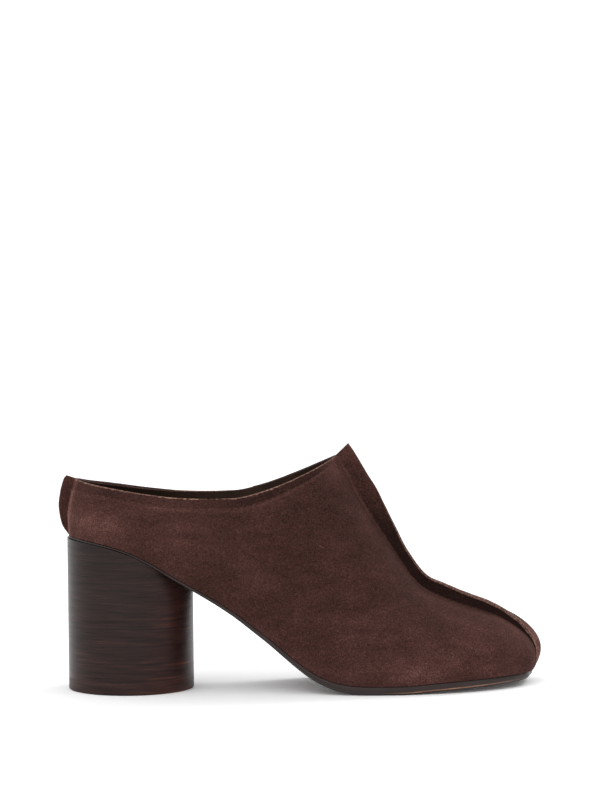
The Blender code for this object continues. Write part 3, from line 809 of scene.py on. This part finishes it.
# The raised seams. Values that change along the vamp start with the one at the throat, and each
# step after it is (from x, to x, change), with x in millimetres
fin = {
    "cuts": 7,
    # painted shade at the seam's foot, in the valley beside the panels
    "footPaintedShade": 0.13,
    "pinchMm": 0.22,         # how far the two layers draw together half way up
    "pinchFullMm": 4,        # seams lower than this are pinched less
    "waveFullMm": 3,         # and lower than this, waver less
    "leastSkin": 0.45,       # share of the height that is always suede, not cut edge
    "shoulderMm": 0.08,
    "crownMm": 0.45,
    "lineDeepMm": 0.3,       # the line between the two layers
    "vampWaveMm": 0.25,
    # the seam's sides drawn darker towards the toe: painted shade, with some of the nap's own tone
    "vampNapAndPaintedShade": (0.11, (104, 116, -0.26), (113, 132, -0.26)),
    "vampPaler": (-0.06, (112, 150, 0.10)),
    "vampRawMm": (0.35, (110, 135, 0.65), (135, 175, 0.45)),
    "backWaveMm": 0.125,
    "backShade": 0.02,
    "backPaler": -0.16,
    "backRawMm": 0.4,
}


def stepped(x, start, *steps):      # start, and each step's change once x is past it
    return start + sum(change * smooth(x, low, high) for low, high, change in steps)


def addFin(shell, base, tops, shade, pale, wave, raw):
    # two skins back to back: side faces of suede, cut edges on top with a line between them
    raw = raw[:, None]
    levels = np.linspace(0, 1, fin["cuts"] + 1)
    foot = (1 - levels) ** 1.5 * smooth(levels, -0.3, 0.2)
    # painted shade on the seam's sides, darkest at the foot
    shadeUp = shade[None, :] - fin["footPaintedShade"] * foot[:, None]
    skins = {}
    for side in (-1, 1):
        lift = tops[side] - base[side]
        high = np.linalg.norm(lift, axis=-1, keepdims=True)
        way = lift / np.maximum(high, 1e-6)
        reach = np.maximum(high - raw, high * fin["leastSkin"])
        grid = []
        for level in levels:
            point = base[side] + way * reach * level
            pinch = fin["pinchMm"] / 1000 * math.sin(math.pi * level)
            pinch = pinch * np.minimum(high[:, 0] * 1000 / fin["pinchFullMm"], 1)
            point[:, 1] += wave * level ** 2 - side * pinch
            grid.append(point)
        top = tops[side].copy()
        top[:, 1] += wave
        skins[side] = (np.stack(grid, 0), top, way, high)
    for side in (-1, 1):
        grid, top, way, high = skins[side]
        shell.sheet(grid, 0, side > 0, brushed=shadeUp)
        shoulder = top - way * np.minimum(raw, high) * 0.1
        shoulder[:, 1] -= side * fin["shoulderMm"] / 1000
        crown = top.copy()
        crown[:, 1] -= side * fin["crownMm"] / 1000
        middle = (skins[-1][1] + skins[1][1]) / 2
        middle -= way * np.minimum(fin["lineDeepMm"] / 1000, high * 0.1)
        lines = [grid[-1], shoulder, crown, middle]
        for place in range(3):
            pair = np.stack((lines[place], lines[place + 1]), 0)
            shell.sheet(pair, 1, side > 0, paler=np.tile(pale, (2, 1)))
    # the cut end of the seam
    ends = [np.array([*skins[side][0][:, 0], skins[side][1][0]]) for side in (-1, 1)]
    shell.sheet(np.stack(ends, 0), 1, True)


def addVampFin(shell, outer, rows):
    run = ridgeRun(rows)
    out = squareTo(run)
    cuts = upper["collarCuts"]
    height = steady(vampSeam["row"], vampSeam["height"], rows) * shoe["vampSeam"]
    slant = steady(vampSeam["row"], vampSeam["slant"], rows) * shoe["vampSeam"]
    full = np.minimum(height * 1000 / fin["waveFullMm"], 1)
    jag = uneven(len(rows), 5, 3) * upper["unevenMm"] / 1000 * full
    lift = out * (height + jag)[:, None] - run * slant[:, None]
    base = {side: outer[side][cuts:, -1] for side in (-1, 1)}
    tops = {side: base[side] + lift for side in (-1, 1)}
    wave = uneven(len(rows), 8, 9) * fin["vampWaveMm"] / 1000 * full
    x = base[-1][:, 0] * 1000
    shade = stepped(x, *fin["vampNapAndPaintedShade"])
    pale = stepped(x, *fin["vampPaler"])
    addFin(shell, base, tops, shade, pale, wave, stepped(x, *fin["vampRawMm"]) / 1000)


def addBackFin(shell, outer):
    line = {side: outer[side][0] for side in (-1, 1)}
    up = wallLevels()
    height = steady(backSeam["up"], backSeam["height"], up) * shoe["backSeam"]
    out = squareTo(np.gradient(line[-1], axis=0))
    full = np.minimum(height * 1000 / fin["waveFullMm"], 1)
    wave = uneven(len(up), 3, 6) * fin["backWaveMm"] / 1000 * full
    # it runs up the back, so its lines go the other way round from the vamp's
    base = {side: line[side][::-1] for side in (-1, 1)}
    tops = {side: (line[side] + out * height[:, None])[::-1] for side in (-1, 1)}
    even = np.ones(len(up))
    addFin(shell, base, tops, even * fin["backShade"], even * fin["backPaler"], wave,
           even * fin["backRawMm"] / 1000)


shell, outerSkin, belowEdge = buildUpper()
upperPiece = shell.toObject("suede_upper", [suede, rawEdge, lining])
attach(upperPiece, "root")
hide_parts("upper")
print("upper made")

# Hem stitches along the collar

stitch = {
    "longMm": 2.0,
    "gapMm": 1.1,
    "thickMm": 0.33,
    "tip": 0.02,           # share of the thickness that is left at both ends
    "fromEndMm": 4,
    "rings": 6,
    "sides": 7,
}


def hemLine(side):      # the points of the hem line, and how far along it each one lies
    hem = upper["hemMm"] / 1000
    line = []
    for i in range(1, upper["collarCuts"]):
        below = belowEdge[side][i]
        place = len(below) - 1 - np.searchsorted(below[::-1], hem)
        low, high = below[place + 1], below[place]
        share = (hem - low) / (high - low)
        line.append(outerSkin[side][i][place + 1] * (1 - share) + outerSkin[side][i][place] * share)
    line = np.array(line)
    walked = np.concatenate(([0], np.cumsum(np.linalg.norm(np.diff(line, axis=0), axis=1))))
    return line, walked


def addStitches(shell, side):
    line, walked = hemLine(side)
    pace = (stitch["longMm"] + stitch["gapMm"]) / 1000
    half = stitch["longMm"] / 2000
    start = stitch["fromEndMm"] / 1000
    while start + pace < walked[-1] - stitch["fromEndMm"] / 1000:
        ends = [np.array([np.interp(start + offset, walked, line[:, axis]) for axis in range(3)])
                for offset in (0, stitch["longMm"] / 1000)]
        middle = (ends[0] + ends[1]) / 2
        run = (ends[1] - ends[0]) / np.linalg.norm(ends[1] - ends[0])
        away = np.array((0.0, float(side), 0.0))
        away -= run * away.dot(run)
        away /= np.linalg.norm(away)
        third = np.cross(run, away)
        turn = np.linspace(0, 2 * math.pi, stitch["sides"] + 1)
        ring = np.cos(turn)[:, None] * away + np.sin(turn)[:, None] * third
        rings = []
        for angle in np.linspace(-math.pi / 2, math.pi / 2, stitch["rings"]):
            thick = stitch["thickMm"] / 2000 * max(math.cos(angle), stitch["tip"])
            rings.append(middle + run * half * math.sin(angle) + thick * ring)
        shell.sheet(np.array(rings))
        start += pace


def spunThread():
    # Spun polyester sewing thread: short fibres twisted together, so it is matt with faint slubs.
    slubMm = 9
    made, tree, shader, where = newMaterial("spunPolyesterThread", Roughness=0.9, Specular_IOR_Level=0.1)
    colour = addRamp(tree, addNoise(tree, where, slubMm, 3.0), (0.3, "#442d27"), (0.7, "#5e4139"))
    tree.links.new(colour, shader.inputs["Base Color"])
    return made


threads = Shell()
for side in (-1, 1):
    addStitches(threads, side)
threadPiece = threads.toObject("hem_stitches", [spunThread()])
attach(threadPiece, "root")
print("hem stitched")

# Sock and sole: layers with the foot's outline

layers = {"cuts": 260, "across": 14}


def ringAt(side, inset, extra, height):      # the foot's outline moved in, at a height
    rows = lastRow * np.linspace(0, 1, layers["cuts"] + 1)
    x, y, outX, outY = footEdge(side, rows)
    outX[0], outY[0] = -1, 0
    x -= (inset(rows) + extra) * outX
    y -= (inset(rows) + extra) * outY
    return np.column_stack((x, y, height(x)))


def buildLayer(inset, profilePoints, topSlot, bottomSlot, **masks):
    # profilePoints run from the top's rim to the bottom's rim: (inset, height function, slot below it)
    rings = {}
    for side in (-1, 1):
        rings[side] = [ringAt(side, inset, extra, height) for extra, height, _ in profilePoints]
    for level in range(len(profilePoints)):
        for end in (0, -1):
            middle = (rings[-1][level][end] + rings[1][level][end]) / 2
            rings[-1][level][end] = middle
            rings[1][level][end] = middle
    shell = Shell(*masks)
    for level in range(len(profilePoints) - 1):
        slot = profilePoints[level][2]
        for side in (-1, 1):
            pair = np.stack((rings[side][level], rings[side][level + 1]), 0)
            values = {name: np.stack([value(ring) for ring in pair], 0) for name, value in masks.items()}
            shell.sheet(pair, slot, side < 0, **values)
    for level, slot, flip in ((0, topSlot, True), (-1, bottomSlot, False)):
        height = profilePoints[level][1]
        left = rings[-1][level]
        right = rings[1][level]
        grid = []
        for share in np.linspace(0, 1, layers["across"] + 1):
            point = left * (1 - share) + right * share
            point[:, 2] = height(point[:, 0])
            grid.append(point)
        shell.sheet(np.array(grid), slot, flip)
    return shell


def sockInset(rows):
    return np.full_like(rows, shoe["wall"] + shoe["insoleEase"])


def sockTop(lower=0.0):
    return lambda x: seatZ(x) + (shoe["insoleThickness"] - lower) * seatStretch(x)


def soleInset(rows):
    return shoe["soleSetback"] * smooth(rows, shoe["setbackRow"], lastRow)


def soleLevel(share):      # 0 at the top of the sole, 1 at its underside
    return lambda x: (seatZ(x) - shoe["fit"]) * (1 - share) + soleBottomZ(x) * share


sockPoints = [
    (0.0009, sockTop(0.0), 0),
    (0.0003, sockTop(0.00015), 0),
    (0.0, sockTop(0.0006), 0),
    (0.0, seatZ, 0),
]
sock = buildLayer(sockInset, sockPoints, 0, 0).toObject("leather_sock", [sockLeather])
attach(sock, "root")
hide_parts("insole")

solePoints = [
    (0.00025, soleLevel(0.0), 0),
    (0.0, soleLevel(0.08), 0),
    (0.0, soleLevel(0.55), 0),
    (0.00005, soleLevel(0.66), 1),
    (0.00022, soleLevel(0.80), 0),
    (0.0010, soleLevel(1.0), 2),
]


def wornEdge():
    # Where the paint on the sole's corner was trimmed off, the natural leather shows as a thin line.
    patchMm = 7
    made, tree, shader, where = newMaterial("trimmedSoleCorner", Roughness=0.5)
    marks = addNoise(tree, where, patchMm, 4.0)
    total = addSum(tree, ((marks, 0.8), (addMask(tree, "bare"), 1.0)), -0.15)
    colour = addRamp(tree, total, (0.35, "#241f1e"), (0.75, "#704a38"), (1.0, "#9c6e54"))
    tree.links.new(colour, shader.inputs["Base Color"])
    return made


def bareShare(points):      # bare from the ball to just behind the toe
    x = points[:, 0] * 1000
    return 0.55 * smooth(x, 116, 142) * (1 - smooth(x, 182, 192))


sole = buildLayer(soleInset, solePoints, 0, 2, bare=bareShare)
solePiece = sole.toObject("leather_outsole", [edgePaint, wornEdge(), soleLeather], 65)
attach(solePiece, "root")
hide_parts("outsole")
print("sock and sole made")

# Heel: a round stack of leather lifts on a top piece

heel = {
    "sides": 144,
    "capRings": 9,
    "liftMm": 4.3,
    "driftMm": 0.35,       # how unevenly thick the lifts are
    "grooveMm": 0.03,
    "grooveWideMm": 0.28,
    "footMm": 0.27,        # reaches this far into the gap above the top piece
    "rimMm": 0.20,         # is at its full width this far into the gap
    "rimInMm": 0.02,       # and in by this much below that
    "topEase": 0.3,        # share of the fit that is left below the sole
    "roughness": 0.30,
    "streakMm": 0.65,
    "streakLongMm": 17,
    "bandMm": 2.4,
    "bandLongMm": 28.33,
    "colours": ((0.30, "#130d0c"), (0.45, "#211816"), (0.57, "#2b1e1c"), (0.72, "#422c27")),
    "redColours": ((0.30, "#160b0a"), (0.45, "#251311"), (0.57, "#341c18"), (0.72, "#5e3227")),
}
topPiece = {
    "roughness": 0.40,
    "chamferMm": 0.5,
    "streakMm": 0.9,
    "streakLongMm": 18,
    "bandMm": 2.6,
    "bandLongMm": 30,
    "colours": ((0.30, "#150d0c"), (0.45, "#261b18"), (0.57, "#31221f"), (0.72, "#4a3029")),
    "redColours": ((0.30, "#190d0b"), (0.45, "#2b1713"), (0.57, "#3c211b"), (0.72, "#70402e")),
}


def buildRound(levels, topZ):
    # levels are (height, how far in, joint) from the bottom, cut off at the top's own height
    angle = np.linspace(0, 2 * math.pi, heel["sides"] + 1)
    shell = Shell("joint", "redder")
    rings = []
    marks = []
    for z, inward, joint in levels:
        x = (heelRadius - inward) * np.cos(angle)
        y = (heelRadius - inward) * np.sin(angle)
        top = topZ(x)
        rings.append(np.column_stack((x, y, np.minimum(z, top))))
        marks.append(np.where(z < top, joint, 0.0))
    rings = np.array(rings)
    shell.sheet(rings, 0, True, joint=np.array(marks), redder=redShare(rings))
    for ring, height, flip in ((rings[-1], topZ, True), (rings[0], None, False)):
        grid = []
        for share in np.linspace(1, 0, heel["capRings"]):
            point = ring * share
            point[:, 2] = ring[:, 2] if height is None else height(point[:, 0])
            grid.append(point)
        grid = np.array(grid)
        shell.sheet(grid, 0, flip, joint=np.zeros(grid.shape[:2]), redder=redShare(grid))
    return shell


def redShare(points):      # the stain is redder at the front and near the floor
    x = points[..., 0] * 1000
    z = points[..., 2] * 1000
    low = 0.28 * (1 - smooth(z, 4, 52))
    return np.minimum(low + 0.75 * smooth(x, 2, 20) * (1 - 0.3 * smooth(z, 40, 66)), 1.0)


def heelLevels():
    bottom = (shoe["topPiece"] + shoe["fit"]) * 1000
    topMm = shoe["seatHeight"] * 1000
    levels = [(bottom - heel["footMm"], heel["rimInMm"], 0.1), (bottom - heel["rimMm"], 0.0, 0.0)]
    drift = uneven(24, 21, 1)
    z = bottom + heel["liftMm"]
    count = 0
    while z < topMm:
        at = z + heel["driftMm"] * drift[count]
        wide = heel["grooveWideMm"]
        levels += [(at - wide, 0.0, 0.0), (at, heel["grooveMm"], 1.0), (at + wide, 0.0, 0.0)]
        z += heel["liftMm"]
        count += 1
    levels.append((topMm + 5, 0.0, 0.0))      # higher than the seat, so that the top cuts it off
    return [(level / 1000, inward / 1000, joint) for level, inward, joint in levels]


def heelTop(x):
    return soleBottomZ(x) - shoe["fit"] * heel["topEase"]


heelPiece = buildRound(heelLevels(), heelTop)
heelPiece = heelPiece.toObject("stacked_heel", [turnedStack("waxedStackedLeather", heel)])
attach(heelPiece, "root")
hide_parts("heel")

chamfer = topPiece["chamferMm"] / 1000
tread = shoe["topPiece"]
treadLevels = [(0.0, chamfer, 0.0), (chamfer * 0.3, chamfer * 0.3, 0.0), (chamfer, 0.0, 0.0),
               (tread - 0.0001, 0.0, 0.0), (tread, 0.00003, 0.1)]
treadPiece = buildRound(treadLevels, lambda x: np.full_like(x, tread))
treadPiece = treadPiece.toObject("heel_top_piece", [turnedStack("mouldedTopPieceRubber", topPiece)])
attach(treadPiece, "root")
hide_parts("top_piece")
print("heel made")

# Floor, light and camera

studio = {
    "floor": ("#f2f2f2", "#fafafa"),
    "floorMarkMm": 60,
    "floorReach": 30.0,
    "floorZ": -0.00005,      # just below the treads, so that the faces don't meet
    "white": (1.0, 1.0, 1.0, 1.0),
    "world": 1.1,
    "lampsLookAt": (0.083, 0.0, 0.05),
    "key": {"at": (-0.9, -1.3, 1.7), "size": 1.4, "watts": 14},
    "rim": {"at": (1.2, 0.9, 1.2), "size": 1.0, "watts": 13},
    "cameraAt": (0.0838, -1.700, 0.2489),
    "pitchDown": 3.66,
    "roll": 0.52,
    "lensMm": 157.12,
}

ends = (-studio["floorReach"], 0.0, studio["floorReach"])
floorShell = Shell()
floorShell.sheet(np.array([[(x, y, studio["floorZ"]) for y in ends] for x in ends]), 0, True)
# Matt paper, as in a studio's sweep: it takes a soft shadow and shows no shine.
paper, tree, shader, where = newMaterial("mattPaperFloor", Roughness=0.9, Emission_Color=studio["white"],
                                         Emission_Strength=0.04)
darker, lighter = studio["floor"]
colour = addRamp(tree, addNoise(tree, where, studio["floorMarkMm"], 2.0), (0.0, darker), (1.0, lighter))
tree.links.new(colour, shader.inputs["Base Color"])
floor = floorShell.toObject("floor", [paper])

world = bpy.data.worlds.new("softWhiteRoom")
world.use_nodes = True
background = world.node_tree.nodes["Background"]
background.inputs["Color"].default_value = studio["white"]
background.inputs["Strength"].default_value = studio["world"]
bpy.context.scene.world = world

target = Vector(studio["lampsLookAt"])
for name in ("key", "rim"):
    settings = studio[name]
    light = bpy.data.lights.new(name + "Light", "AREA")
    light.shape = "DISK"
    light.size = settings["size"]
    light.energy = settings["watts"]
    lamp = bpy.data.objects.new(name + "Light", light)
    lamp.location = settings["at"]
    lamp.rotation_euler = (target - Vector(settings["at"])).to_track_quat("-Z", "Y").to_euler()
    bpy.context.scene.collection.objects.link(lamp)

lens = bpy.data.cameras.new("sideView")
lens.lens = studio["lensMm"]
lens.sensor_width = 36.0
camera = bpy.data.objects.new("sideView", lens)
pitch = Matrix.Rotation(math.radians(90 - studio["pitchDown"]), 4, "X")
roll = Matrix.Rotation(math.radians(-studio["roll"]), 4, "Z")
camera.matrix_world = Matrix.Translation(studio["cameraAt"]) @ pitch @ roll
bpy.context.scene.collection.objects.link(camera)
bpy.context.scene.camera = camera
bpy.context.scene.view_settings.view_transform = "Standard"
print("studio set")
